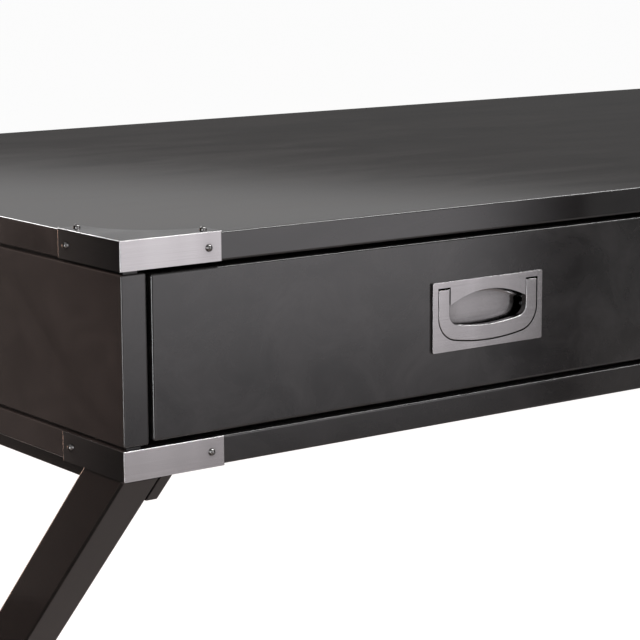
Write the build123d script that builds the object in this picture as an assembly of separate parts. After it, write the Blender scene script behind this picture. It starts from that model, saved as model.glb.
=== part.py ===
from build123d import *
import os

# Campaign desk with a drop-front keyboard tray, in millimetres.
# The origin is on the floor under the middle of the desk. +X is the desk's right, the tray opens towards -Y
# and +Z is up. A shallow black case holds the tray, and a crossed pair of legs carries it at each end.

# Case
WIDTH = 1168.0
DEPTH = 628.0
HEIGHT = 756.0
BOARD = 18.0
CASE_OPENING = 108.5
EDGE_EASE = 1.5
SHADOW_LINE = 1.8
SHADOW_LINE_DEEP = 4.0
TRAY_EASE = 1.0

# Legs, and the rails under the case
LEG_THICK = 27.0
LEG_ON_FLOOR = 47.6
LEG_INSET_SIDE = 1.0
LEG_INSET_FRONT = 2.0
LEG_EASE = 2.0
RAIL_EASE = 1.0
RAIL_THICK = 9.0
RAIL_HEIGHT = 21.5
GLIDE_HEIGHT = 4.0
GLIDE_RADIUS = 9.5
BOLT_RADIUS = 4.0
BOLT_HEAD_RADIUS = 9.0
BOLT_HEAD_HEIGHT = 2.6
NUT_RADIUS = 7.5
NUT_HEIGHT = 6.5
NUT_DOME_RADIUS = 5.0

# Dowels, corner brackets and their screws
PLATE = 0.8
BRACKET_ARM = 72.5
BRACKET_BOW = 55.0
BRACKET_ABOVE_EDGE = 0.3
BRACKET_EASE = 0.6
DOWEL_RADIUS = 4.0
DOWEL_LENGTH = 30.0
DOWEL_INTO_BOARD = 12.0
DOWEL_FROM_EDGE = 90.0
SCREW_HEAD_RADIUS = 2.3
SCREW_HEAD_HEIGHT = 2.2
SCREW_SHANK_RADIUS = 1.1
ARM_SCREW_LENGTH = 12.0
TOP_SCREW_LENGTH = 7.0
ARM_SCREW = 62.9
TOP_SCREW = 65.2
TOP_SCREW_IN = 9.6

# Drop front
FRONT_GAP = 3.0
FRONT_THICK = 18.0
FRONT_EASE = 2.0
PIVOT_ABOVE_EDGE = 14.0
PIVOT_PIN_RADIUS = 2.0
PIVOT_CLEARANCE = 0.08
HINGE_BEHIND_PIVOT = 19.0
HINGE_STEEL = 2.0
EAR_THICK = 2.5
EAR_RADIUS = 5.0
EAR_ROOM = 1.0

# Tray and its slides
TRAY_BOARD = 12.0
TRAY_LENGTH = 434.0
TRAY_SIDE_HEIGHT = 68.0
TRAY_SIDE_BELOW_BOARD = 6.0
SLIDE_ROOM = 12.7
SLIDE_LENGTH = 400.0
SLIDE_HEIGHT = 45.0
SLIDE_STEEL = 1.2
BALL_GAP = 3.0
BALL_CLEARANCE = 0.05
BALLS_IN_ROW = 8
BALL_PITCH = 28.0
CABINET_LIP = 10.0
MIDDLE_WEB = 3.2
MIDDLE_LIP = 11.0
DRAWER_LIP = 5.5
CATCH_WIDE = 16.0
CATCH_HIGH = 14.0
CATCH_GAP = 0.5
CATCH_BELOW_TOP = 2.0
STRIKE_THICK = 1.0

# Flush pulls, each a plate with a hinged bail
PULL_FROM_SIDE = 284.5
PULL_WIDTH = 95.8
PULL_HEIGHT = 46.9
PULL_PROUD = 1.8
PULL_CORNER = 1.2
PULL_EASE = 0.2
CUP_WIDTH = 91.0
CUP_HEIGHT = 43.0
CUP_DEPTH = 8.7
BAIL_HALF_WIDTH = 42.7
BAIL_ARM = 9.0
BAIL_BAND = 10.0
BAIL_TOP = 18.15
BAIL_LOW = -18.55
BAIL_THICK = 4.5
BAIL_CORNER = 16.3
BAIL_INNER_CORNER = 8.0
BAIL_BOW = 164.0
BAIL_EASE = 0.4
GROOVE_GAP = 0.8
GROOVE_GAP_TOP = 1.4
GROOVE_DEPTH = 6.5
SCOOP_TOP = 15.45
SCOOP_LOW = -14.0
SCOOP_TOP_BOW = 73.0
SCOOP_LOW_BOW = 90.0
SCOOP_DEPTH = 9.0
SCOOP_FLOOR_EASE = 3.0
BAIL_PIVOT_DROP = 3.0
BAIL_PIN_RADIUS = 1.25
BAIL_PIN_CLEARANCE = 0.05

# Worked out from the sizes above
SIDE = WIDTH / 2
FRONT = -DEPTH / 2
BACK = DEPTH / 2
TOP_UNDER = HEIGHT - BOARD
BOTTOM_OVER = TOP_UNDER - CASE_OPENING
BOTTOM_UNDER = BOTTOM_OVER - BOARD
INSIDE = SIDE - BOARD

LEG_TOP_FRONT = FRONT + LEG_INSET_FRONT
LEG_OUT = SIDE - LEG_INSET_SIDE
LEG_IN = LEG_OUT - LEG_THICK
LEG_REACH = -2 * LEG_TOP_FRONT - LEG_ON_FLOOR
LEG_RISE = BOTTOM_UNDER - GLIDE_HEIGHT
LEG_LEAN = LEG_REACH / LEG_RISE
CROSS_Z = GLIDE_HEIGHT + LEG_RISE / 2
LEG_MIDDLE = (LEG_IN + LEG_OUT) / 2
FOOT_Y = -LEG_TOP_FRONT - LEG_ON_FLOOR / 2

FRONT_HALF = INSIDE - FRONT_GAP
FRONT_LOW = BOTTOM_OVER + FRONT_GAP
FRONT_HIGH = TOP_UNDER - FRONT_GAP
FRONT_REAR = FRONT + FRONT_THICK
PIVOT_Y = FRONT + FRONT_THICK / 2
PIVOT_Z = FRONT_LOW + PIVOT_ABOVE_EDGE

TRAY_HALF = INSIDE - SLIDE_ROOM
TRAY_IN = TRAY_HALF - TRAY_BOARD
HINGE_FACE = PIVOT_Y + HINGE_BEHIND_PIVOT
TRAY_FRONT = HINGE_FACE + HINGE_STEEL
TRAY_REAR = TRAY_FRONT + TRAY_LENGTH
TRAY_OVER = PIVOT_Z + FRONT_THICK / 2
TRAY_UNDER = TRAY_OVER - TRAY_BOARD
TRAY_SIDE_LOW = TRAY_UNDER - TRAY_SIDE_BELOW_BOARD
TRAY_SIDE_HIGH = TRAY_SIDE_LOW + TRAY_SIDE_HEIGHT
EAR_X = TRAY_IN + EAR_THICK / 2
SLIDE_Z = TRAY_SIDE_LOW + TRAY_SIDE_HEIGHT / 2
CABINET_HALF = SLIDE_HEIGHT / 2
MIDDLE_HALF = CABINET_HALF - SLIDE_STEEL - BALL_GAP
DRAWER_HALF = MIDDLE_HALF - SLIDE_STEEL - BALL_GAP

PULL_X = SIDE - PULL_FROM_SIDE
PULL_Z = (FRONT_LOW + FRONT_HIGH) / 2
PULL_FACE = FRONT - PULL_PROUD
BAIL_PIVOT_Y = PULL_FACE + BAIL_THICK / 2
BAIL_PIVOT_Z = PULL_Z + BAIL_TOP - BAIL_PIVOT_DROP

ALONG_X = Rot(0, 90, 0)
ALONG_MINUS_X = Rot(0, -90, 0)
ALONG_Y = Rot(-90, 0, 0)
ALONG_MINUS_Y = Rot(90, 0, 0)
DOWN = Rot(180, 0, 0)


def board(low, high, ease=0.0):
    """A board from its lowest corner to its highest, with all its edges eased."""
    size = [h - l for l, h in zip(low, high)]
    blank = Pos(*low) * Box(*size, align=(Align.MIN, Align.MIN, Align.MIN))
    return fillet(blank.edges(), ease) if ease else blank


def rod(radius, length, place):
    """A round rod that starts at a place and runs along its +Z."""
    return place * Cylinder(radius, length, align=(Align.CENTER, Align.CENTER, Align.MIN))


def dome_screw(head_radius, head_height, shank_radius, shank_length):
    """A screw with its head's underside at zero, its dome up and its shank down."""
    crown = (head_radius ** 2 + head_height ** 2) / (2 * head_height)
    dome = Pos(0, 0, head_height - crown) * Sphere(crown)
    head = dome & rod(head_radius, head_height, Pos(0, 0, 0))
    return head + rod(shank_radius, shank_length, DOWN)


def flush_screw(head_radius, shank_radius, length):
    """A countersunk screw with its head's face at zero and its point down."""
    head_depth = head_radius - shank_radius
    head = Pos(0, 0, -head_depth / 2) * Cone(shank_radius, head_radius, head_depth)
    return head + rod(shank_radius, length, DOWN)


def both_sides(shape):
    """A right-hand piece and its mirror image on the left."""
    return {"right": shape, "left": mirror(shape, about=Plane.YZ)}


def group(shapes):
    """Separate solids that share one node."""
    return Compound([solid for shape in shapes for solid in shape.solids()])


# Case

def desk_top():
    return board((-SIDE, FRONT, TOP_UNDER), (SIDE, BACK, HEIGHT), EDGE_EASE)


def case_bottom():
    return board((-SIDE, FRONT, BOTTOM_UNDER), (SIDE, BACK, BOTTOM_OVER), EDGE_EASE)


def side_panel():
    """A side of the case, rebated at its top and bottom to leave a shadow line beside the other boards."""
    low, high = BOTTOM_OVER + SHADOW_LINE, TOP_UNDER - SHADOW_LINE
    panel = board((INSIDE, FRONT, low), (SIDE, BACK, high), EDGE_EASE)
    deep = SHADOW_LINE_DEEP
    return panel + board((INSIDE + deep, FRONT + deep, BOTTOM_OVER), (SIDE - deep, BACK - deep, TOP_UNDER))


def back_panel():
    return board((-INSIDE, BACK - BOARD, BOTTOM_OVER), (INSIDE, BACK, TOP_UNDER), EDGE_EASE)


def case_dowels():
    """Three dowels in each end of each side panel."""
    upper, lower = TOP_UNDER + DOWEL_INTO_BOARD - DOWEL_LENGTH, BOTTOM_OVER - DOWEL_INTO_BOARD
    dowels = []
    for x in (-SIDE + BOARD / 2, SIDE - BOARD / 2):
        for y in (FRONT + DOWEL_FROM_EDGE, 0, BACK - DOWEL_FROM_EDGE):
            dowels += [rod(DOWEL_RADIUS, DOWEL_LENGTH, Pos(x, y, z)) for z in (upper, lower)]
    return group(dowels)


# Corner brackets, drawn for the front left corner and mirrored to the others

def bracket_arms(low, high):
    """Two plates that lap the front face and the side face of one board."""
    along_front = board((-SIDE - PLATE, FRONT - PLATE, low), (-SIDE - PLATE + BRACKET_ARM, FRONT, high))
    along_side = board((-SIDE - PLATE, FRONT - PLATE, low), (-SIDE, FRONT - PLATE + BRACKET_ARM, high))
    return along_front + along_side


def arm_screw_places(z):
    """Where the two arm screws stand, each with its +Z out of the desk."""
    over = PLATE
    return [
        Pos(-SIDE - PLATE + ARM_SCREW, FRONT - over, z) * ALONG_MINUS_Y,
        Pos(-SIDE - over, FRONT - PLATE + ARM_SCREW, z) * ALONG_MINUS_X,
    ]


def top_screw_places():
    corner_x, corner_y = -SIDE - PLATE, FRONT - PLATE
    return [
        Pos(corner_x + TOP_SCREW, corner_y + TOP_SCREW_IN, HEIGHT + PLATE),
        Pos(corner_x + TOP_SCREW_IN, corner_y + TOP_SCREW, HEIGHT + PLATE),
    ]


def eased_corner(shape):
    """The bracket with its upright corner, its arms' ends and the outer edges of its top rounded."""
    box = shape.bounding_box()
    touches = {
        "left": lambda point: abs(point.X - box.min.X) < 0.01,
        "front": lambda point: abs(point.Y - box.min.Y) < 0.01,
        "top": lambda point: abs(point.Z - box.max.Z) < 0.01,
        "right": lambda point: abs(point.X - box.max.X) < 0.01,
        "back": lambda point: abs(point.Y - box.max.Y) < 0.01,
    }

    def lies_on(edge, sides):
        return all(touches[side](edge @ end) for side in sides for end in (0, 1))

    pairs = [("left", "front"), ("left", "top"), ("front", "top"), ("left", "back"), ("front", "right")]
    edges = [edge for edge in shape.edges() if any(lies_on(edge, pair) for pair in pairs)]
    return fillet(edges, BRACKET_EASE)


def drilled(shape, places):
    """The bracket with a clearance hole at each screw."""
    hole = SCREW_SHANK_RADIUS + 0.1
    for place in places:
        shape -= place * Cylinder(hole, 6 * PLATE)
    return shape


def top_bracket():
    """A three-way corner: two arms and a top plate with a hollow bow between its ends."""
    arms = bracket_arms(TOP_UNDER + BRACKET_ABOVE_EDGE, HEIGHT + PLATE)
    corner = (-SIDE - PLATE, FRONT - PLATE, HEIGHT)
    far = (corner[0] + BRACKET_ARM, corner[1] + BRACKET_ARM, HEIGHT + PLATE)
    cap = board(corner, far) - Pos(far[0], far[1], HEIGHT) * Cylinder(BRACKET_BOW, 6 * PLATE)
    places = arm_screw_places(HEIGHT - BOARD / 2) + top_screw_places()
    return drilled(eased_corner(arms + cap), places)


def bottom_bracket():
    """A two-way corner on the case bottom's edge."""
    arms = bracket_arms(BOTTOM_UNDER - PLATE, BOTTOM_OVER)
    return drilled(eased_corner(arms), arm_screw_places(BOTTOM_OVER - BOARD / 2))


def four_corners(shape):
    """A front left piece and its mirror images on the other three corners."""
    back_left = mirror(shape, about=Plane.XZ)
    return {
        "front_left": shape,
        "front_right": mirror(shape, about=Plane.YZ),
        "back_left": back_left,
        "back_right": mirror(back_left, about=Plane.YZ),
    }


def bracket_screws():
    """Four screws in each top bracket and two in each bottom bracket."""
    arm_screw = dome_screw(SCREW_HEAD_RADIUS, SCREW_HEAD_HEIGHT, SCREW_SHANK_RADIUS, ARM_SCREW_LENGTH)
    top_screw = dome_screw(SCREW_HEAD_RADIUS, SCREW_HEAD_HEIGHT, SCREW_SHANK_RADIUS, TOP_SCREW_LENGTH)
    screws = [place * top_screw for place in top_screw_places()]
    for z in (HEIGHT - BOARD / 2, BOTTOM_OVER - BOARD / 2):
        screws += [place * arm_screw for place in arm_screw_places(z)]
    return group([four for screw in screws for four in four_corners(screw).values()])


# Legs

def side_outline(points, thick_from, thick_to):
    """A solid from a closed outline of (y, z) points, between two X planes."""
    face = Plane.YZ.offset(thick_from) * make_face(Polyline(*points, close=True))
    return extrude(face, thick_to - thick_from)


def leg_bar(sign, thick_from, thick_to):
    """A leg's square bar: sign 1 goes back as it goes down, sign -1 comes forward."""
    top = (LEG_TOP_FRONT, LEG_TOP_FRONT + LEG_ON_FLOOR)
    points = [
        (sign * top[0], BOTTOM_UNDER),
        (sign * top[1], BOTTOM_UNDER),
        (sign * (top[1] + LEG_REACH), GLIDE_HEIGHT),
        (sign * (top[0] + LEG_REACH), GLIDE_HEIGHT),
    ]
    return side_outline(points, thick_from, thick_to)


def leg(sign):
    """A right-hand leg with half its thickness cut away where it laps the other one."""
    whole = fillet(leg_bar(sign, LEG_IN, LEG_OUT).edges(), LEG_EASE)
    if sign > 0:
        return whole - leg_bar(-sign, LEG_IN - 1, LEG_MIDDLE)
    return whole - leg_bar(-sign, LEG_MIDDLE, LEG_OUT + 1)


def leg_rail():
    """A rail under the case, inside the leg tops, with its ends cut along the legs' slope."""
    slope = RAIL_HEIGHT * LEG_LEAN
    low = BOTTOM_UNDER - RAIL_HEIGHT
    front = LEG_TOP_FRONT
    points = [(front, BOTTOM_UNDER), (-front, BOTTOM_UNDER), (-front - slope, low), (front + slope, low)]
    rail = side_outline(points, LEG_IN - RAIL_THICK, LEG_IN)
    return fillet(rail.edges(), RAIL_EASE)


def cross_bolts():
    """A round-headed bolt through the lapped legs at each end."""
    bolt = dome_screw(BOLT_HEAD_RADIUS, BOLT_HEAD_HEIGHT, BOLT_RADIUS, LEG_THICK + NUT_HEIGHT)
    return group(both_sides(Pos(LEG_OUT, 0, CROSS_Z) * ALONG_X * bolt).values())


def cross_nuts():
    """A hexagonal cap nut on the inner end of each cross bolt."""
    nut = extrude(RegularPolygon(NUT_RADIUS, 6), NUT_HEIGHT)
    nut += Pos(0, 0, NUT_HEIGHT) * Sphere(NUT_DOME_RADIUS)
    return group(both_sides(Pos(LEG_IN, 0, CROSS_Z) * ALONG_MINUS_X * nut).values())


def rail_screws():
    """Screws up through each rail into the case bottom."""
    x = LEG_IN - RAIL_THICK / 2
    screws = []
    for y in (-200, 0, 200):
        place = Pos(x, y, BOTTOM_UNDER - RAIL_HEIGHT) * DOWN
        screws += both_sides(place * flush_screw(3.6, 1.8, RAIL_HEIGHT + 12)).values()
    return group(screws)


def leg_screws():
    """Two screws from the inner face of each rail into each leg top."""
    x = LEG_IN - RAIL_THICK
    screws = []
    for y in (LEG_TOP_FRONT + 24, LEG_TOP_FRONT + 44):
        for sign in (1, -1):
            place = Pos(x, sign * y, BOTTOM_UNDER - RAIL_HEIGHT / 2) * ALONG_MINUS_X
            screws += both_sides(place * flush_screw(3.6, 1.8, RAIL_THICK + 18)).values()
    return group(screws)


def foot_glides():
    """A nail-on glide under each foot."""
    domed = fillet(rod(GLIDE_RADIUS, GLIDE_HEIGHT, Pos(0, 0, 0)).edges().group_by(Axis.Z)[0], 2.5)
    glide = domed + rod(1.25, 16.0, Pos(0, 0, GLIDE_HEIGHT))
    places = [Pos(x, y, 0) for x in (-LEG_MIDDLE, LEG_MIDDLE) for y in (-FOOT_Y, FOOT_Y)]
    return group([place * glide for place in places])


# Slides: three nested steel channels at each end, with balls between them

def channel(web_from, web_to, lip, half_height, y_from):
    """A right-hand C channel: its web between two depths from the side panel, its lips out to a third."""
    low, high = INSIDE - max(web_from, web_to, lip), INSIDE - min(web_from, web_to, lip)
    y_to = y_from + SLIDE_LENGTH
    outer = board((low, y_from, SLIDE_Z - half_height), (high, y_to, SLIDE_Z + half_height))
    inner_half = half_height - SLIDE_STEEL
    if lip > web_to:
        low -= 1
        high -= SLIDE_STEEL
    else:
        low += SLIDE_STEEL
        high += 1
    room = board((low, y_from - 1, SLIDE_Z - inner_half), (high, y_to + 1, SLIDE_Z + inner_half))
    return outer - room


def slide_cabinet():
    return channel(0, SLIDE_STEEL, CABINET_LIP, CABINET_HALF, TRAY_FRONT)


def slide_middle():
    return channel(MIDDLE_WEB, MIDDLE_WEB + SLIDE_STEEL, MIDDLE_LIP, MIDDLE_HALF, TRAY_FRONT)


def slide_drawer():
    return channel(SLIDE_ROOM, SLIDE_ROOM - SLIDE_STEEL, DRAWER_LIP, DRAWER_HALF, TRAY_FRONT)


def slide_balls():
    """Rows of balls above and below the middle channel, outside it and inside it."""
    radius = BALL_GAP / 2 - BALL_CLEARANCE
    outer_z, inner_z = MIDDLE_HALF + BALL_GAP / 2, DRAWER_HALF + BALL_GAP / 2
    outer_x, inner_x = INSIDE - (MIDDLE_WEB + CABINET_LIP) / 2, INSIDE - (DRAWER_LIP + MIDDLE_LIP) / 2
    outer_y, inner_y = TRAY_FRONT + 165.0, TRAY_FRONT + 15.0
    balls = []
    for up in (-1, 1):
        for i in range(BALLS_IN_ROW):
            balls.append(Pos(outer_x, outer_y + i * BALL_PITCH, SLIDE_Z + up * outer_z) * Sphere(radius))
            balls.append(Pos(inner_x, inner_y + i * BALL_PITCH, SLIDE_Z + up * inner_z) * Sphere(radius))
    return group(balls)


def slide_screws_cabinet():
    """Pan-head screws from each cabinet channel into the side panel."""
    screws = []
    for y in (TRAY_FRONT + 35, TRAY_FRONT + 160, TRAY_FRONT + 365):
        place = Pos(INSIDE - SLIDE_STEEL, y, SLIDE_Z) * ALONG_MINUS_X
        screws += both_sides(place * dome_screw(3.5, 1.4, 1.7, 15.0)).values()
    return group(screws)


def slide_screws_drawer():
    """Pan-head screws from each drawer channel into the tray side."""
    screws = []
    for y in (TRAY_FRONT + 35, TRAY_FRONT + 200, TRAY_FRONT + 365):
        place = Pos(TRAY_HALF + SLIDE_STEEL, y, SLIDE_Z) * ALONG_X
        screws += both_sides(place * dome_screw(3.5, 1.4, 1.7, 11.0)).values()
    return group(screws)


# Keyboard tray

def tray_board():
    return board((-TRAY_IN, TRAY_FRONT, TRAY_UNDER), (TRAY_IN, TRAY_REAR, TRAY_OVER), TRAY_EASE)


def tray_side():
    return board((TRAY_IN, TRAY_FRONT, TRAY_SIDE_LOW), (TRAY_HALF, TRAY_REAR, TRAY_SIDE_HIGH), TRAY_EASE)


def tray_back():
    low = (-TRAY_IN, TRAY_REAR - TRAY_BOARD, TRAY_OVER)
    return board(low, (TRAY_IN, TRAY_REAR, TRAY_SIDE_HIGH), TRAY_EASE)


def tray_screws():
    """Countersunk screws through each tray side into the board and the back."""
    places = [(TRAY_FRONT + step, TRAY_OVER - TRAY_BOARD / 2) for step in (60, 215, 370)]
    places.append((TRAY_REAR - TRAY_BOARD / 2, TRAY_SIDE_HIGH - 14))
    screws = []
    for y, z in places:
        place = Pos(TRAY_HALF, y, z) * ALONG_X
        screws += both_sides(place * flush_screw(3.4, 1.6, 32.0)).values()
    return group(screws)


def front_hinge():
    """A steel plate on the tray side's front end with an ear that holds the front's pivot pin."""
    low, ear_high = PIVOT_Z - EAR_RADIUS, PIVOT_Z + EAR_RADIUS
    flange = board((TRAY_IN, HINGE_FACE, low), (TRAY_HALF, TRAY_FRONT, TRAY_SIDE_HIGH - 4))
    ear = board((TRAY_IN, PIVOT_Y, low), (TRAY_IN + EAR_THICK, HINGE_FACE, ear_high))
    pivot = Pos(EAR_X, PIVOT_Y, PIVOT_Z) * ALONG_X
    eye = pivot * Cylinder(EAR_RADIUS, EAR_THICK)
    bore = pivot * Cylinder(PIVOT_PIN_RADIUS + PIVOT_CLEARANCE, 4 * EAR_THICK)
    return flange + ear + eye - bore


def hinge_screws():
    """Two screws from each hinge plate into the end of the tray side, above the front's swing."""
    screws = []
    for z in (PIVOT_Z + 24, PIVOT_Z + 44):
        place = Pos((TRAY_IN + TRAY_HALF) / 2, HINGE_FACE, z) * ALONG_MINUS_Y
        screws += both_sides(place * dome_screw(3.2, 1.2, 1.6, 22.0)).values()
    return group(screws)


def magnet_catch():
    """A magnetic catch on the tray side's inner face that holds the front shut."""
    high = TRAY_SIDE_HIGH - CATCH_BELOW_TOP
    low = (TRAY_IN - CATCH_WIDE, FRONT_REAR + CATCH_GAP, high - CATCH_HIGH)
    return board(low, (TRAY_IN, TRAY_FRONT + 22, high), 0.8)


# Drop front

def strike_plate_blank(ease=0.0):
    """The catch's plate, let into the back of the front."""
    low = (TRAY_IN - CATCH_WIDE - 2, FRONT_REAR - STRIKE_THICK, TRAY_SIDE_HIGH - CATCH_HIGH - 4)
    return board(low, (TRAY_IN - 2, FRONT_REAR, TRAY_SIDE_HIGH), ease)


def cup_blank():
    """The body of a pull behind its plate, which the front is mortised for."""
    return board(
        (PULL_X - CUP_WIDTH / 2, FRONT, PULL_Z - CUP_HEIGHT / 2),
        (PULL_X + CUP_WIDTH / 2, FRONT + CUP_DEPTH, PULL_Z + CUP_HEIGHT / 2),
    )


def pivot_pin():
    """A pin pressed in from the end of the front and through the hinge's ear."""
    return rod(PIVOT_PIN_RADIUS, 28.0, Pos(FRONT_HALF, PIVOT_Y, PIVOT_Z) * ALONG_MINUS_X)


def drawer_front():
    """The front, with a mortise for each pull, a slot for each hinge's ear and a seat for each strike."""
    front = board((-FRONT_HALF, FRONT, FRONT_LOW), (FRONT_HALF, FRONT_REAR, FRONT_HIGH), FRONT_EASE)
    slot = board(
        (EAR_X - EAR_THICK / 2 - EAR_ROOM, PIVOT_Y - EAR_RADIUS - EAR_ROOM, FRONT_LOW - 1),
        (EAR_X + EAR_THICK / 2 + EAR_ROOM, FRONT_REAR + 1, PIVOT_Z + EAR_RADIUS + EAR_ROOM),
    )
    for cut in (cup_blank(), slot, pivot_pin(), strike_plate_blank()):
        for each in both_sides(cut).values():
            front -= each
    return front


# Flush pulls, drawn on the right and mirrored to the left

def on_front(sketch, y, depth):
    """A sketch about the pull's centre, extruded back from one depth."""
    plane = Plane((PULL_X, y, PULL_Z), x_dir=(1, 0, 0), z_dir=(0, -1, 0))
    return extrude(plane * sketch, -depth)


def u_outline(half_width, top, low, bow, corner):
    """A round-cornered shape with a straight top and a slightly bowed bottom."""
    shape = Pos(0, (top + low) / 2) * Rectangle(2 * half_width, top - low + 0.001)
    shape = shape & Pos(0, low + bow) * Circle(bow)
    lowest = shape.vertices().sort_by(Axis.Y)[:2]
    return fillet(lowest, corner)


def bail_sketch(gap=0.0, gap_top=0.0):
    """The bail's U, or the groove around it when given gaps."""
    outer_half, top, low = BAIL_HALF_WIDTH + gap, BAIL_TOP + gap_top, BAIL_LOW - gap
    outer = u_outline(outer_half, top, low, BAIL_BOW + gap, BAIL_CORNER + gap)
    inner_bow = BAIL_BOW - BAIL_BAND - gap
    inner_half = BAIL_HALF_WIDTH - BAIL_ARM - gap
    inner_low = BAIL_LOW + BAIL_BAND + gap
    inner = u_outline(inner_half, BAIL_TOP + 10, inner_low, inner_bow, BAIL_INNER_CORNER - gap)
    return outer, inner


def scoop():
    """The finger scoop's almond, rounded at its floor and kept inside the groove's outline."""
    outer, _ = bail_sketch(GROOVE_GAP, GROOVE_GAP_TOP)
    almond = Pos(0, SCOOP_TOP - SCOOP_TOP_BOW) * Circle(SCOOP_TOP_BOW)
    almond = almond & Pos(0, SCOOP_LOW + SCOOP_LOW_BOW) * Circle(SCOOP_LOW_BOW)
    tool = on_front(almond & outer, PULL_FACE, SCOOP_DEPTH)
    return fillet(tool.faces().sort_by(Axis.Y)[-1].edges(), SCOOP_FLOOR_EASE)


def bail_pin_places():
    """The outer end of each of the bail's two pins, each running towards the pull's middle."""
    reach = BAIL_HALF_WIDTH + 2.0
    return [
        Pos(PULL_X + reach, BAIL_PIVOT_Y, BAIL_PIVOT_Z) * ALONG_MINUS_X,
        Pos(PULL_X - reach, BAIL_PIVOT_Y, BAIL_PIVOT_Z) * ALONG_X,
    ]


def bail_pins(extra=0.0):
    length = BAIL_ARM + 4.0
    return group([rod(BAIL_PIN_RADIUS + extra, length, place) for place in bail_pin_places()])


def pull_plate():
    face = RectangleRounded(PULL_WIDTH, PULL_HEIGHT, PULL_CORNER)
    plate = on_front(face, PULL_FACE, PULL_PROUD)
    plate = fillet(plate.faces().sort_by(Axis.Y)[0].edges(), PULL_EASE)
    outer, inner = bail_sketch(GROOVE_GAP, GROOVE_GAP_TOP)
    groove = on_front(outer - inner, PULL_FACE, GROOVE_DEPTH)
    body = plate + cup_blank() - groove - scoop()
    for pin in bail_pins().solids():
        body -= pin
    return body


def bail():
    """The U-shaped handle, hung on two pins near the tops of its arms."""
    outer, inner = bail_sketch()
    handle = on_front(outer - inner, PULL_FACE, BAIL_THICK)
    handle = fillet(handle.faces().sort_by(Axis.Y)[0].edges(), BAIL_EASE)
    for bore in bail_pins(BAIL_PIN_CLEARANCE).solids():
        handle -= bore
    return handle


def pull_screws():
    """Machine screws from the back of the front into each pull's body, behind the bail's arms."""
    screws = []
    for x in (PULL_X - 38.0, PULL_X + 38.0):
        place = Pos(x, FRONT_REAR, PULL_Z) * ALONG_Y
        screws += both_sides(place * flush_screw(3.0, 1.5, FRONT_REAR - FRONT - CUP_DEPTH + 3.0)).values()
    return group(screws)


def save(name, shape):
    export_step(shape, f"parts/{name}.step")
    print(name)


def main():
    os.makedirs("parts", exist_ok=True)
    single = [desk_top, case_bottom, back_panel, case_dowels, bracket_screws, cross_bolts, cross_nuts]
    single += [rail_screws, leg_screws, foot_glides, slide_screws_cabinet, slide_screws_drawer]
    single += [tray_board, tray_back, tray_screws, hinge_screws, drawer_front, pull_screws]
    paired = {
        "side_panel": side_panel(),
        "leg_rail": leg_rail(),
        "leg_to_back_foot": leg(1),
        "leg_to_front_foot": leg(-1),
        "slide_cabinet": slide_cabinet(),
        "slide_middle": slide_middle(),
        "slide_drawer": slide_drawer(),
        "slide_balls": slide_balls(),
        "tray_side": tray_side(),
        "front_hinge": front_hinge(),
        "magnet_catch": magnet_catch(),
        "strike_plate": strike_plate_blank(),
        "pivot_pin": pivot_pin(),
        "pull_plate": pull_plate(),
        "bail": bail(),
        "bail_pins": bail_pins(),
    }
    for make in single:
        save(make.__name__, make())
    for name, shape in paired.items():
        for side, half in both_sides(shape).items():
            save(f"{name}_{side}", half)
    for name, shape in (("top_bracket", top_bracket()), ("bottom_bracket", bottom_bracket())):
        for corner, piece in four_corners(shape).items():
            save(f"{name}_{corner}", piece)


main()
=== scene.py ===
import math

import bpy
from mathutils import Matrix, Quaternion, Vector


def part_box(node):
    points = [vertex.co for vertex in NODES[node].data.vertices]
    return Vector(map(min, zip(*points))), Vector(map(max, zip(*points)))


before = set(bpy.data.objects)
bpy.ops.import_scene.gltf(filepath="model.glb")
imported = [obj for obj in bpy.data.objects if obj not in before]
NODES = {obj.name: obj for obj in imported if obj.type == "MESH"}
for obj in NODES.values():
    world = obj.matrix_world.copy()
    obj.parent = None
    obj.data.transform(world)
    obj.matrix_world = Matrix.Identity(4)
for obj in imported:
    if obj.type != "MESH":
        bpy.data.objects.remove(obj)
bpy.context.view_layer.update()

# Lengths are in metres and angles in degrees, and the lens and its sensor are in millimetres. A light's
# brightness is that of its surface, where 1 comes out as white.

# Where the camera stands from the desk top's front left corner, and how it is turned
CAMERA_FROM_CORNER = (-0.6756, -1.1068, 0.1903)
CAMERA_HEADING = 53.416
CAMERA_PITCH = -10.404
CAMERA_ROLL = 0.263
CAMERA_LENS = 125.13
SENSOR_WIDTH = 36.0

# The floor is a middling grey to the desk, and glows for the camera alone so that it looks white
FLOOR_SIZE = 60.0
FLOOR_GREY = 0.40
FLOOR_GLOW = 0.80

# Beyond the floor's far edge the camera sees the background node's own pale grey, 0.8, times this
BACKGROUND_STRENGTH = 1.0

# The front softbox: its plane, its left and right ends and its height, how wide its right end fades,
# between which heights its foot does, and what part of its brightness is left there
SOFTBOX_Y = -2.35
SOFTBOX_SPAN = (-0.85, 1.72, 2.4)
SOFTBOX_RIGHT_FADE = 0.40
SOFTBOX_FOOT_FADE = (-0.03, 0.42)
SOFTBOX_FOOT = 0.24
SOFTBOX_BRIGHTNESS = 1.25
SOFTBOX_TINT = (1.0, 0.967, 1.0)

# The flags' faint glow. The black one is warmer and brighter past a stretch of its width.
BLACK_FLAG_GLOW = 0.008
BLACK_FLAG_WARM_GLOW = 0.12
BLACK_FLAG_WARM_STRETCH = (0.10, 0.36)
WARM_GLOW_TINT = (1.0, 0.85, 0.78)
GREY_FLAG_GLOW = 0.17

# The sky that everything but the camera sees: greys from the horizon and below (0) to straight up (1),
# and how far its level is tilted about a line that runs back and to the right
SKY_GREYS = [(0.0, 0.085), (0.1135, 0.085), (0.1265, 0.335), (0.5, 0.40), (1.0, 0.45)]
SKY_TILT = 3.0
SKY_TILT_AXIS = (0.5855, 0.8107, 0.0)

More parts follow.
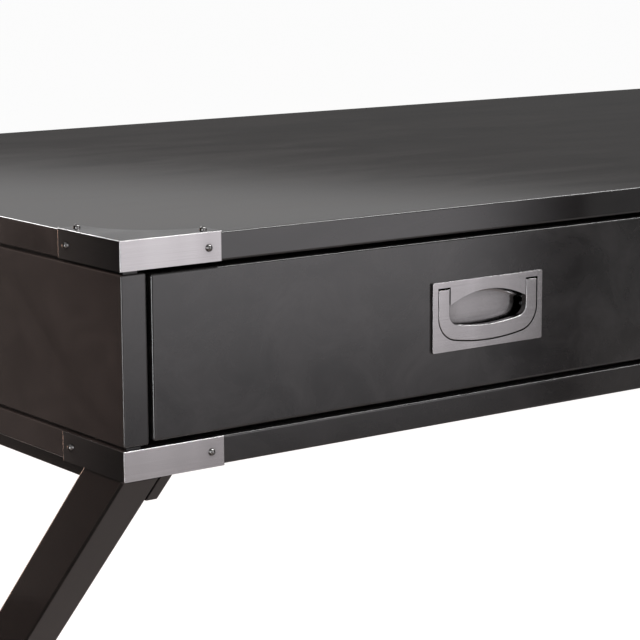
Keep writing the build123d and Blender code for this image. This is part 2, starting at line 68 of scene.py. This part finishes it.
# Tints of the lights
WARM_FILL = (1.0, 0.72, 0.62)
WARM_RIM = (1.0, 0.66, 0.5)
COOL_STRIP = (0.94, 0.97, 1.0)

# Finishes: the lacquer's dark and pale tones, and the colour that its worn arrises show
LACQUER_DARK = (0.019, 0.018, 0.018)
TOP_PALE = (0.038, 0.036, 0.036)
CASE_PALE = (0.041, 0.039, 0.039)
FRONT_PALE = (0.043, 0.041, 0.041)
LEG_DARK = (0.015, 0.014, 0.014)
LEG_PALE = (0.022, 0.021, 0.021)
WORN_LACQUER = (0.11, 0.10, 0.095)
LACQUER_WEAR = 0.3
LACQUER_HAZE = 0.02
LACQUER_IOR = 1.6
LACQUER_SPECULAR = 0.65

# The tray's stain, the dowels' beech, and where pores begin in the grain, how sharply and how dark
TRAY_DARK = (0.030, 0.019, 0.014)
TRAY_PALE = (0.062, 0.041, 0.029)
BEECH_DARK = (0.42, 0.28, 0.17)
BEECH_PALE = (0.60, 0.43, 0.27)
PORE_START = 0.55
PORE_GAIN = 4.0
PORE_SHADE = 0.45

# The metal's tones, how rough zinc is, and the painted shade that darkens recesses
NICKEL = (0.66, 0.645, 0.65)
NICKEL_SHADE = (0.42, 0.405, 0.41)
POLISHED_NICKEL = (0.80, 0.78, 0.77)
# Painted shade: the screws' nickel is darkened well below real nickel so that the domes look as if they
# reflect dark surroundings
SCREW_PAINTED_DARK_NICKEL = (0.22, 0.215, 0.21)
ZINC = (0.56, 0.57, 0.59)
ZINC_ROUGHNESS = 0.36
RECESS_PAINTED_SHADE = (0.05, 0.048, 0.046)
METAL_WEAR = 0.6
METAL_WEAR_GAIN = 1.18
BRUSHED_LINES = 0.5
BRUSH_TURN = 0.25

CATCH_BLACK = (0.022, 0.022, 0.023)
GLIDE_BROWN = (0.060, 0.055, 0.050)

# How deep the surface's small relief is
PEEL_DEPTH = 0.000004
PORE_DEPTH = 0.00012
BRUSHED_DEPTH = 0.00002
GRIT_DEPTH = 0.00004


# Camera, floor and light

def make_camera():
    low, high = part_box("desk_top")
    data = bpy.data.cameras.new("desk_camera")
    data.lens = CAMERA_LENS
    data.sensor_width = SENSOR_WIDTH
    data.clip_start = 0.05
    data.clip_end = 200.0
    camera = bpy.data.objects.new("desk_camera", data)
    bpy.context.scene.collection.objects.link(camera)
    camera.location = Vector((low.x, low.y, high.z)) + Vector(CAMERA_FROM_CORNER)
    heading = math.radians(CAMERA_HEADING)
    pitch = math.radians(CAMERA_PITCH)
    level = math.cos(pitch)
    ahead = Vector((math.cos(heading) * level, math.sin(heading) * level, math.sin(pitch)))
    upright = ahead.to_track_quat("-Z", "Y")
    camera.rotation_mode = "QUATERNION"
    camera.rotation_quaternion = upright @ Quaternion((0, 0, 1), -math.radians(CAMERA_ROLL))
    bpy.context.scene.camera = camera


def card(name, centre, faces, width, height, material, upright=True):
    """A flat rectangle that looks towards a point, standing upright unless told otherwise."""
    mesh = bpy.data.meshes.new(name)
    corners = [(-width / 2, -height / 2, 0), (width / 2, -height / 2, 0), (width / 2, height / 2, 0),
               (-width / 2, height / 2, 0)]
    mesh.from_pydata(corners, [], [(0, 1, 2, 3)])
    mesh.materials.append(material)
    plane = bpy.data.objects.new(name, mesh)
    bpy.context.scene.collection.objects.link(plane)
    plane.location = centre
    towards = Vector(faces) - Vector(centre)
    if upright:
        towards.z = 0.0
    plane.rotation_mode = "QUATERNION"
    plane.rotation_quaternion = towards.to_track_quat("Z", "Y")
    return plane


def hide_from_camera(piece):
    piece.visible_camera = False
    piece.visible_shadow = False


def floor_material():
    material, tree, surface = new_material("pale_floor")
    surface.inputs["Base Color"].default_value = (FLOOR_GREY, FLOOR_GREY, FLOOR_GREY, 1)
    surface.inputs["Roughness"].default_value = 0.9
    surface.inputs["Specular IOR Level"].default_value = 0.1
    path = tree.nodes.new("ShaderNodeLightPath")
    glow = tree.nodes.new("ShaderNodeMath")
    glow.operation = "MULTIPLY"
    glow.inputs[1].default_value = FLOOR_GLOW
    tree.links.new(path.outputs["Is Camera Ray"], glow.inputs[0])
    surface.inputs["Emission Color"].default_value = (1, 1, 1, 1)
    tree.links.new(glow.outputs[0], surface.inputs["Emission Strength"])
    return material


def flag_material(name, glow, glow_far=0.0, far=(0.0, 1.0)):
    """Black cloth with a faint glow, which can be warm and rise across a stretch of its own X."""
    material, tree, surface = new_material(name)
    surface.inputs["Base Color"].default_value = (0.004, 0.004, 0.004, 1)
    surface.inputs["Roughness"].default_value = 1.0
    surface.inputs["Specular IOR Level"].default_value = 0.0
    surface.inputs["Emission Color"].default_value = (*WARM_GLOW_TINT, 1) if glow_far else (1, 1, 1, 1)
    place = tree.nodes.new("ShaderNodeTexCoord")
    split = tree.nodes.new("ShaderNodeSeparateXYZ")
    tree.links.new(place.outputs["Object"], split.inputs[0])
    risen = math_node(tree, "MULTIPLY", ramp_between(tree, split.outputs["X"], *far), glow_far)
    tree.links.new(math_node(tree, "ADD", risen, glow), surface.inputs["Emission Strength"])
    return material


def make_stage():
    """A pale floor, and three dark flags that only show as reflections."""
    card("floor", (0, 0, 0), (0, 0, 1), FLOOR_SIZE, FLOOR_SIZE, floor_material(), upright=False)
    black = flag_material("black_flag", BLACK_FLAG_GLOW, BLACK_FLAG_WARM_GLOW, BLACK_FLAG_WARM_STRETCH)
    grey = flag_material("grey_flag", GREY_FLAG_GLOW)
    left = card("flag_left", (-1.55, 1.05, 1.25), (-0.58, 0, 1.25), 3.0, 3.4, black)
    right = card("flag_right", (2.9, -2.2, 0.7), (-0.1, -0.3, 0.7), 2.6, 2.2, grey)
    low = card("flag_low", (-1.25, 0.55, 0.003), (-1.25, 0.55, 1), 1.25, 1.9, black, upright=False)
    for flag in (left, right, low):
        hide_from_camera(flag)
        flag.visible_diffuse = False


def softbox_material(brightness):
    """The front light's cloth, fading at its right end and towards its foot. Its own +X is its left."""
    left, right, high = SOFTBOX_SPAN
    right_end = (left - right) / 2
    foot_end = -high / 2
    material, tree, surface = new_material("softbox_cloth")
    tree.nodes.remove(surface)
    place = tree.nodes.new("ShaderNodeTexCoord")
    split = tree.nodes.new("ShaderNodeSeparateXYZ")
    tree.links.new(place.outputs["Object"], split.inputs[0])
    inward = ramp_between(tree, split.outputs["X"], right_end, right_end + SOFTBOX_RIGHT_FADE)
    fade_start, fade_end = SOFTBOX_FOOT_FADE
    risen = ramp_between(tree, split.outputs["Y"], foot_end + fade_start, foot_end + fade_end)
    foot = math_node(tree, "ADD", math_node(tree, "MULTIPLY", risen, 1 - SOFTBOX_FOOT), SOFTBOX_FOOT)
    level = math_node(tree, "MULTIPLY", math_node(tree, "MULTIPLY", inward, foot), brightness)
    glow = tree.nodes.new("ShaderNodeEmission")
    glow.inputs["Color"].default_value = (*SOFTBOX_TINT, 1)
    tree.links.new(level, glow.inputs["Strength"])
    out = next(node for node in tree.nodes if node.type == "OUTPUT_MATERIAL")
    tree.links.new(glow.outputs[0], out.inputs["Surface"])
    return material


def soft_light(name, centre, faces, size, brightness, colour=(1, 1, 1), diffuse=True, glossy=True):
    """A rectangular light set by how bright its surface is, for matt surfaces, glossy ones or both."""
    width, height = size
    data = bpy.data.lights.new(name, "AREA")
    data.shape = "RECTANGLE"
    data.size = width
    data.size_y = height
    data.energy = brightness * math.pi * width * height
    data.color = colour
    light = bpy.data.objects.new(name, data)
    bpy.context.scene.collection.objects.link(light)
    light.location = centre
    light.rotation_mode = "QUATERNION"
    light.rotation_quaternion = (Vector(faces) - Vector(centre)).to_track_quat("-Z", "Y")
    light.visible_camera = False
    light.visible_diffuse = diffuse
    light.visible_glossy = glossy
    return light


def make_softbox():
    """The large front light, a glowing cloth that the camera doesn't see."""
    left, right, high = SOFTBOX_SPAN
    centre = ((left + right) / 2, SOFTBOX_Y, high / 2)
    cloth = softbox_material(SOFTBOX_BRIGHTNESS)
    softbox = card("softbox", centre, (centre[0], 0, centre[2]), right - left, high, cloth)
    hide_from_camera(softbox)


def make_lights():
    """The softbox, a warm fill, three strips that line the arrises and a warm rim light."""
    make_softbox()
    soft_light("left_fill", (-2.5, 0.9, 2.6), (-0.5, 0.1, 0.65), (1.8, 1.5), 12.0, WARM_FILL, glossy=False)
    soft_light("top_strip", (1.3, -0.6, 3.2), (1.3, -0.6, 0.7), (3.4, 0.5), 15.0, diffuse=False)
    soft_light("corner_strip", (-2.45, -1.42, 0.95), (-0.585, -0.31, 0.95), (0.3, 1.7), 13.0, COOL_STRIP,
               diffuse=False)
    soft_light("back_strip", (-0.6, 2.8, 2.4), (-0.6, 0.0, 0.75), (2.0, 0.4), 12.0, diffuse=False)
    soft_light("rim", (-0.74, 1.6, 0.45), (-0.58, 0, 0.45), (0.22, 0.9), 6.0, WARM_RIM, diffuse=False)


def make_world():
    """A pale grey for the camera, and for the rest a sky dark near the horizon and pale above it."""
    world = bpy.data.worlds.new("studio")
    bpy.context.scene.world = world
    world.use_nodes = True
    tree = world.node_tree
    tree.nodes.clear()
    place = tree.nodes.new("ShaderNodeTexCoord")
    tilt = tree.nodes.new("ShaderNodeVectorRotate")
    tilt.inputs["Axis"].default_value = SKY_TILT_AXIS
    tilt.inputs["Angle"].default_value = math.radians(SKY_TILT)
    tree.links.new(place.outputs["Generated"], tilt.inputs["Vector"])
    split = tree.nodes.new("ShaderNodeSeparateXYZ")
    tree.links.new(tilt.outputs[0], split.inputs[0])
    ramp = tree.nodes.new("ShaderNodeValToRGB")
    elements = ramp.color_ramp.elements
    while len(elements) < len(SKY_GREYS):
        elements.new(0.5)
    for element, (height, grey) in zip(elements, SKY_GREYS):
        element.position = height
        element.color = (grey, grey, grey, 1)
    tree.links.new(split.outputs["Z"], ramp.inputs["Fac"])
    sky = tree.nodes.new("ShaderNodeBackground")
    tree.links.new(ramp.outputs["Color"], sky.inputs["Color"])
    pale = tree.nodes.new("ShaderNodeBackground")
    pale.inputs["Strength"].default_value = BACKGROUND_STRENGTH
    path = tree.nodes.new("ShaderNodeLightPath")
    choose = tree.nodes.new("ShaderNodeMixShader")
    tree.links.new(path.outputs["Is Camera Ray"], choose.inputs["Fac"])
    tree.links.new(sky.outputs[0], choose.inputs[1])
    tree.links.new(pale.outputs[0], choose.inputs[2])
    out = tree.nodes.new("ShaderNodeOutputWorld")
    tree.links.new(choose.outputs[0], out.inputs["Surface"])


# Shared surface effects, each a node group. A stretch is in noise cells per metre along X, Y and Z.

# A face counts as level when its normal's part along Z is over this
LEVEL_FACE = 0.7
# The soft upright bands on brushed metal are painted reflection, and this is their stretch
REFLECTION_BAND_STRETCH = (26.0, 26.0, 1.5)
CLOUD_SWING = 2.4

# Rays that feel for an edge or a recess around each spot
EDGE_SAMPLES = 8

# Where worn patches begin in the noise, and how sharply they rise
WEAR_PATCHES = (0.30, 3.5)


def new_group(name, inputs, outputs):
    """An empty shader group with its sockets, given as (name, kind, start value)."""
    tree = bpy.data.node_groups.new(name, "ShaderNodeTree")
    for label, kind, value in inputs:
        socket = tree.interface.new_socket(name=label, in_out="INPUT", socket_type="NodeSocket" + kind)
        socket.default_value = value
    for label, kind in outputs:
        tree.interface.new_socket(name=label, in_out="OUTPUT", socket_type="NodeSocket" + kind)
    enter = tree.nodes.new("NodeGroupInput")
    leave = tree.nodes.new("NodeGroupOutput")
    return tree, enter, leave


def math_node(tree, operation, first, second=None, clamp=False):
    """A maths node on two sockets or numbers; returns its result socket."""
    node = tree.nodes.new("ShaderNodeMath")
    node.operation = operation
    node.use_clamp = clamp
    for slot, value in enumerate((first, second)):
        if value is None:
            continue
        if isinstance(value, (int, float)):
            node.inputs[slot].default_value = value
        else:
            tree.links.new(value, node.inputs[slot])
    return node.outputs[0]


def ramp_between(tree, value, start, end):
    """0 before the start, 1 past the end and a smooth rise between them."""
    node = tree.nodes.new("ShaderNodeMapRange")
    node.interpolation_type = "SMOOTHSTEP"
    tree.links.new(value, node.inputs["Value"])
    node.inputs["From Min"].default_value = start
    node.inputs["From Max"].default_value = end
    return node.outputs["Result"]


def stretched_place(tree, stretch):
    """Object coordinates in metres, multiplied by a vector socket."""
    place = tree.nodes.new("ShaderNodeTexCoord")
    scaled = tree.nodes.new("ShaderNodeVectorMath")
    scaled.operation = "MULTIPLY"
    tree.links.new(place.outputs["Object"], scaled.inputs[0])
    tree.links.new(stretch, scaled.inputs[1])
    return scaled.outputs[0]


def noise(tree, vector, detail=3.0, roughness=0.55, scale=1.0, distortion=0.0):
    node = tree.nodes.new("ShaderNodeTexNoise")
    node.inputs["Scale"].default_value = scale
    node.inputs["Detail"].default_value = detail
    node.inputs["Roughness"].default_value = roughness
    node.inputs["Distortion"].default_value = distortion
    tree.links.new(vector, node.inputs["Vector"])
    return node.outputs["Fac"]


def around_zero(tree, value, amount):
    """A 0 to 1 value turned into one that spans an amount, centred on zero."""
    centred = math_node(tree, "SUBTRACT", value, 0.5)
    return math_node(tree, "MULTIPLY", centred, amount)


def build_cloud_group():
    """Soft clouds in a lacquer film: the value swings about zero by the amount."""
    tree, enter, leave = new_group(
        "Lacquer Clouds",
        [("Stretch", "Vector", (18, 18, 18)), ("Amount", "Float", 1.0)],
        [("Swing", "Float")],
    )
    place = stretched_place(tree, enter.outputs["Stretch"])
    large = noise(tree, place, detail=5.0, roughness=0.62, distortion=0.6)
    swing = around_zero(tree, large, CLOUD_SWING)
    tree.links.new(math_node(tree, "MULTIPLY", swing, enter.outputs["Amount"]), leave.inputs["Swing"])
    return tree


def build_brushed_group():
    """Soft upright bands of painted reflection, and fine lines that run level on upright faces and along X
    on level ones.
    """
    tree, enter, leave = new_group(
        "Brushed Lines",
        [("Along", "Float", 6.0), ("Across", "Float", 1800.0)],
        [("Lines", "Float"), ("Reflection Bands", "Float")],
    )
    shape = tree.nodes.new("ShaderNodeNewGeometry")
    facing = tree.nodes.new("ShaderNodeSeparateXYZ")
    tree.links.new(shape.outputs["Normal"], facing.inputs[0])
    steepness = math_node(tree, "ABSOLUTE", facing.outputs["Z"])
    level = math_node(tree, "GREATER_THAN", steepness, LEVEL_FACE)
    spread = tree.nodes.new("ShaderNodeCombineXYZ")
    tree.links.new(enter.outputs["Along"], spread.inputs["X"])
    mixed = tree.nodes.new("ShaderNodeMix")
    tree.links.new(level, mixed.inputs["Factor"])
    tree.links.new(enter.outputs["Along"], mixed.inputs["A"])
    tree.links.new(enter.outputs["Across"], mixed.inputs["B"])
    tree.links.new(mixed.outputs["Result"], spread.inputs["Y"])
    tree.links.new(enter.outputs["Across"], spread.inputs["Z"])
    place = stretched_place(tree, spread.outputs[0])
    tree.links.new(noise(tree, place, detail=4.0, roughness=0.7), leave.inputs["Lines"])
    upright = tree.nodes.new("ShaderNodeCombineXYZ")
    for axis, stretch in zip("XYZ", REFLECTION_BAND_STRETCH):
        upright.inputs[axis].default_value = stretch
    # Painted reflection: soft upright bands of brighter and darker metal
    reflection_bands = noise(tree, stretched_place(tree, upright.outputs[0]), detail=2.0, roughness=0.5)
    tree.links.new(reflection_bands, leave.inputs["Reflection Bands"])
    return tree


def build_worn_edge_group():
    """Where a sharp outer edge lies within reach, broken up so that the wear isn't even."""
    tree, enter, leave = new_group(
        "Worn Edges",
        [("Reach", "Float", 0.001), ("Gain", "Float", 1.6), ("Breakup", "Vector", (140, 140, 140))],
        [("Wear", "Float")],
    )
    inside = tree.nodes.new("ShaderNodeAmbientOcclusion")
    inside.inside = True
    inside.only_local = True
    inside.samples = EDGE_SAMPLES
    tree.links.new(enter.outputs["Reach"], inside.inputs["Distance"])
    edge = math_node(tree, "SUBTRACT", 1.0, inside.outputs["AO"])
    edge = math_node(tree, "MULTIPLY", edge, enter.outputs["Gain"], clamp=True)
    patches = noise(tree, stretched_place(tree, enter.outputs["Breakup"]), detail=4.0, roughness=0.7)
    patch_floor, patch_gain = WEAR_PATCHES
    above = math_node(tree, "SUBTRACT", patches, patch_floor)
    sharper = math_node(tree, "MULTIPLY", above, patch_gain, clamp=True)
    tree.links.new(math_node(tree, "MULTIPLY", edge, sharper), leave.inputs["Wear"])
    return tree


def build_recess_group():
    """How open a spot is to its surroundings, from 0 deep in a recess to 1 on an open face."""
    tree, enter, leave = new_group(
        "Recess Shade",
        [("Reach", "Float", 0.016), ("Power", "Float", 1.3)],
        [("Open", "Float")],
    )
    around = tree.nodes.new("ShaderNodeAmbientOcclusion")
    around.samples = EDGE_SAMPLES
    tree.links.new(enter.outputs["Reach"], around.inputs["Distance"])
    openness = math_node(tree, "POWER", around.outputs["AO"], enter.outputs["Power"])
    tree.links.new(openness, leave.inputs["Open"])
    return tree


def build_wood_grain_group():
    """Long grain that runs along X, with fine pores."""
    tree, enter, leave = new_group(
        "Wood Grain",
        [("Stretch", "Vector", (3, 60, 60)), ("Pores", "Vector", (40, 900, 900))],
        [("Figure", "Float"), ("Pore", "Float")],
    )
    along = stretched_place(tree, enter.outputs["Stretch"])
    figure = noise(tree, along, detail=6.0, roughness=0.6, distortion=0.9)
    tree.links.new(figure, leave.inputs["Figure"])
    pore = noise(tree, stretched_place(tree, enter.outputs["Pores"]), detail=2.0)
    tree.links.new(pore, leave.inputs["Pore"])
    return tree


# Materials

def new_material(name):
    material = bpy.data.materials.new(name)
    material.use_nodes = True
    tree = material.node_tree
    surface = next(node for node in tree.nodes if node.type == "BSDF_PRINCIPLED")
    return material, tree, surface


def use_group(tree, group, **values):
    node = tree.nodes.new("ShaderNodeGroup")
    node.node_tree = group
    for label, value in values.items():
        node.inputs[label].default_value = value
    return node


def blend_colours(tree, factor, first, second):
    """A mix of two colours by a socket; returns the colour socket."""
    mix = tree.nodes.new("ShaderNodeMix")
    mix.data_type = "RGBA"
    mix.clamp_factor = True
    tree.links.new(factor, mix.inputs["Factor"])
    for label, value in (("A", first), ("B", second)):
        socket = next(s for s in mix.inputs if s.name == label and s.type == "RGBA")
        if isinstance(value, tuple):
            socket.default_value = (*value, 1)
        else:
            tree.links.new(value, socket)
    return next(s for s in mix.outputs if s.type == "RGBA")


def shade_of(colour, part):
    """A colour darkened to a part of itself."""
    return tuple(channel * part for channel in colour)


def add_bump(tree, surface, height, distance):
    bump = tree.nodes.new("ShaderNodeBump")
    bump.inputs["Distance"].default_value = distance
    tree.links.new(height, bump.inputs["Height"])
    tree.links.new(bump.outputs["Normal"], surface.inputs["Normal"])


def black_lacquer(name, stretch, depth, dark, pale, roughness=0.08):
    """Polished black lacquer, clouded to a depth along its stretch, with paler wear on its arrises."""
    material, tree, surface = new_material(name)
    clouds = use_group(tree, GROUPS["clouds"], Stretch=stretch, Amount=depth)
    tone = math_node(tree, "ADD", clouds.outputs["Swing"], 0.5, clamp=True)
    film = blend_colours(tree, tone, dark, pale)
    wear = use_group(tree, GROUPS["worn"], Reach=0.0012)
    worn = math_node(tree, "MULTIPLY", wear.outputs["Wear"], LACQUER_WEAR)
    tree.links.new(blend_colours(tree, worn, film, WORN_LACQUER), surface.inputs["Base Color"])
    rough = math_node(tree, "MULTIPLY", clouds.outputs["Swing"], LACQUER_HAZE)
    tree.links.new(math_node(tree, "ADD", rough, roughness), surface.inputs["Roughness"])
    surface.inputs["IOR"].default_value = LACQUER_IOR
    surface.inputs["Specular IOR Level"].default_value = LACQUER_SPECULAR
    peel_place = tree.nodes.new("ShaderNodeTexCoord").outputs["Object"]
    peel = noise(tree, peel_place, detail=2.0, roughness=0.5, scale=420.0)
    add_bump(tree, surface, peel, PEEL_DEPTH)
    return material


def stained_wood(name, dark, pale, roughness):
    """Wood with its figure along X and open pores, under a thin satin coat."""
    material, tree, surface = new_material(name)
    grain = use_group(tree, GROUPS["grain"])
    body = blend_colours(tree, grain.outputs["Figure"], dark, pale)
    deep = math_node(tree, "SUBTRACT", grain.outputs["Pore"], PORE_START)
    pores = math_node(tree, "MULTIPLY", deep, PORE_GAIN, clamp=True)
    stained = blend_colours(tree, pores, body, shade_of(dark, PORE_SHADE))
    tree.links.new(stained, surface.inputs["Base Color"])
    rough = math_node(tree, "ADD", math_node(tree, "MULTIPLY", grain.outputs["Figure"], 0.12), roughness)
    tree.links.new(rough, surface.inputs["Roughness"])
    add_bump(tree, surface, grain.outputs["Pore"], PORE_DEPTH)
    return material


def brushed_nickel(name, roughness, along, across, reflection_band_depth, anisotropy=0.9):
    """Brushed plate: fine level lines, soft upright bands of painted reflection, brighter worn arrises and
    recesses darkened with painted shade.
    """
    material, tree, surface = new_material(name)
    brushed = use_group(tree, GROUPS["brushed"], Along=along, Across=across)
    # Painted reflection: the upright bands lighten and darken the plate's colour
    reflection_bands = around_zero(tree, brushed.outputs["Reflection Bands"], reflection_band_depth)
    lines = around_zero(tree, brushed.outputs["Lines"], BRUSHED_LINES)
    tone = math_node(tree, "ADD", math_node(tree, "ADD", reflection_bands, lines), 0.5, clamp=True)
    plate = blend_colours(tree, tone, NICKEL_SHADE, NICKEL)
    wear = use_group(tree, GROUPS["worn"], Reach=0.0004, Breakup=(300, 300, 300))
    bright = tuple(min(1.0, part * METAL_WEAR_GAIN) for part in NICKEL)
    worn = math_node(tree, "MULTIPLY", wear.outputs["Wear"], METAL_WEAR)
    recess = use_group(tree, GROUPS["recess"])
    open_face = blend_colours(tree, worn, plate, bright)
    # Painted shade: recesses and the gaps between parts are darkened by ambient occlusion
    shown = blend_colours(tree, recess.outputs["Open"], RECESS_PAINTED_SHADE, open_face)
    tree.links.new(shown, surface.inputs["Base Color"])
    surface.inputs["Metallic"].default_value = 1.0
    rough = around_zero(tree, brushed.outputs["Lines"], 0.05)
    tree.links.new(math_node(tree, "ADD", rough, roughness), surface.inputs["Roughness"])
    surface.inputs["Anisotropic"].default_value = anisotropy
    level = tree.nodes.new("ShaderNodeTangent")
    level.direction_type = "RADIAL"
    level.axis = "Z"
    tree.links.new(level.outputs[0], surface.inputs["Tangent"])
    surface.inputs["Anisotropic Rotation"].default_value = BRUSH_TURN
    add_bump(tree, surface, brushed.outputs["Lines"], BRUSHED_DEPTH)
    return material


def polished_metal(name, base, roughness):
    """Smooth plated metal, slightly hazed where it has been handled."""
    material, tree, surface = new_material(name)
    place = tree.nodes.new("ShaderNodeTexCoord").outputs["Object"]
    haze = noise(tree, place, detail=4.0, roughness=0.6, scale=240.0)
    tree.links.new(blend_colours(tree, haze, shade_of(base, 0.9), base), surface.inputs["Base Color"])
    surface.inputs["Metallic"].default_value = 1.0
    rough = math_node(tree, "MULTIPLY", haze, 0.08)
    tree.links.new(math_node(tree, "ADD", rough, roughness), surface.inputs["Roughness"])
    return material


def plated_steel(name, base):
    """Zinc-plated steel: cloudy spangle and a cool cast."""
    material, tree, surface = new_material(name)
    clouds = use_group(tree, GROUPS["clouds"], Stretch=(160, 160, 160), Amount=0.8)
    tone = math_node(tree, "ADD", clouds.outputs["Swing"], 0.5, clamp=True)
    tree.links.new(blend_colours(tree, tone, shade_of(base, 0.8), base), surface.inputs["Base Color"])
    surface.inputs["Metallic"].default_value = 1.0
    rough = math_node(tree, "MULTIPLY", clouds.outputs["Swing"], 0.10)
    tree.links.new(math_node(tree, "ADD", rough, ZINC_ROUGHNESS), surface.inputs["Roughness"])
    return material


def moulded_plastic(name, base, roughness):
    """Fine-textured moulding."""
    material, tree, surface = new_material(name)
    place = tree.nodes.new("ShaderNodeTexCoord").outputs["Object"]
    grit = noise(tree, place, detail=2.0, roughness=0.5, scale=2600.0)
    tree.links.new(blend_colours(tree, grit, shade_of(base, 0.8), base), surface.inputs["Base Color"])
    rough = math_node(tree, "MULTIPLY", grit, 0.12)
    tree.links.new(math_node(tree, "ADD", rough, roughness), surface.inputs["Roughness"])
    add_bump(tree, surface, grit, GRIT_DEPTH)
    return material


def make_materials():
    return {
        "top": black_lacquer("top_lacquer", (7, 26, 26), 1.1, LACQUER_DARK, TOP_PALE, roughness=0.055),
        "case": black_lacquer("case_lacquer", (20, 20, 26), 0.7, LACQUER_DARK, CASE_PALE),
        "front": black_lacquer("front_lacquer", (24, 24, 26), 1.4, LACQUER_DARK, FRONT_PALE),
        "legs": black_lacquer("leg_lacquer", (24, 24, 18), 0.5, LEG_DARK, LEG_PALE),
        "tray": stained_wood("tray_stain", TRAY_DARK, TRAY_PALE, 0.34),
        "dowel": stained_wood("dowel_beech", BEECH_DARK, BEECH_PALE, 0.6),
        "bracket": brushed_nickel("bracket_nickel", 0.15, 9.0, 1500.0, 1.0),
        "pull": brushed_nickel("pull_nickel", 0.15, 14.0, 1800.0, 1.0),
        "bolt": brushed_nickel("bolt_nickel", 0.24, 14.0, 1800.0, 0.2, anisotropy=0.0),
        "polished": polished_metal("polished_nickel", POLISHED_NICKEL, 0.06),
        # Painted shade: the screws wear the darkened nickel
        "screw": polished_metal("screw_nickel_painted_dark", SCREW_PAINTED_DARK_NICKEL, 0.02),
        "zinc": plated_steel("zinc_plate", ZINC),
        "catch": moulded_plastic("catch_moulding", CATCH_BLACK, 0.45),
        "glide": moulded_plastic("glide_nylon", GLIDE_BROWN, 0.40),
    }


# Which finish each node wears, by the start of its name. The first that fits is used.
FINISHES = [
    ("desk_top", "top"),
    ("case_bottom", "case"),
    ("side_panel", "case"),
    ("back_panel", "case"),
    ("drawer_front", "front"),
    ("leg_rail", "legs"),
    ("leg_to", "legs"),
    ("tray_board", "tray"),
    ("tray_side", "tray"),
    ("tray_back", "tray"),
    ("case_dowels", "dowel"),
    ("top_bracket", "bracket"),
    ("bottom_bracket", "bracket"),
    ("bracket_screws", "screw"),
    ("pull_plate", "pull"),
    ("bail_pins", "polished"),
    ("bail_", "pull"),
    ("cross_bolts", "bolt"),
    ("slide_balls", "polished"),
    ("strike_plate", "polished"),
    ("pivot_pin", "polished"),
    ("magnet_catch", "catch"),
    ("foot_glides", "glide"),
]


def dress_nodes(materials):
    """Gives every CAD node its finish; whatever isn't listed is plated steel."""
    for name, piece in NODES.items():
        finish = next((finish for start, finish in FINISHES if name.startswith(start)), "zinc")
        piece.data.materials.clear()
        piece.data.materials.append(materials[finish])


GROUPS = {
    "clouds": build_cloud_group(),
    "brushed": build_brushed_group(),
    "worn": build_worn_edge_group(),
    "recess": build_recess_group(),
    "grain": build_wood_grain_group(),
}

make_camera()
make_stage()
make_lights()
make_world()
dress_nodes(make_materials())

bpy.context.scene.view_settings.view_transform = "Standard"
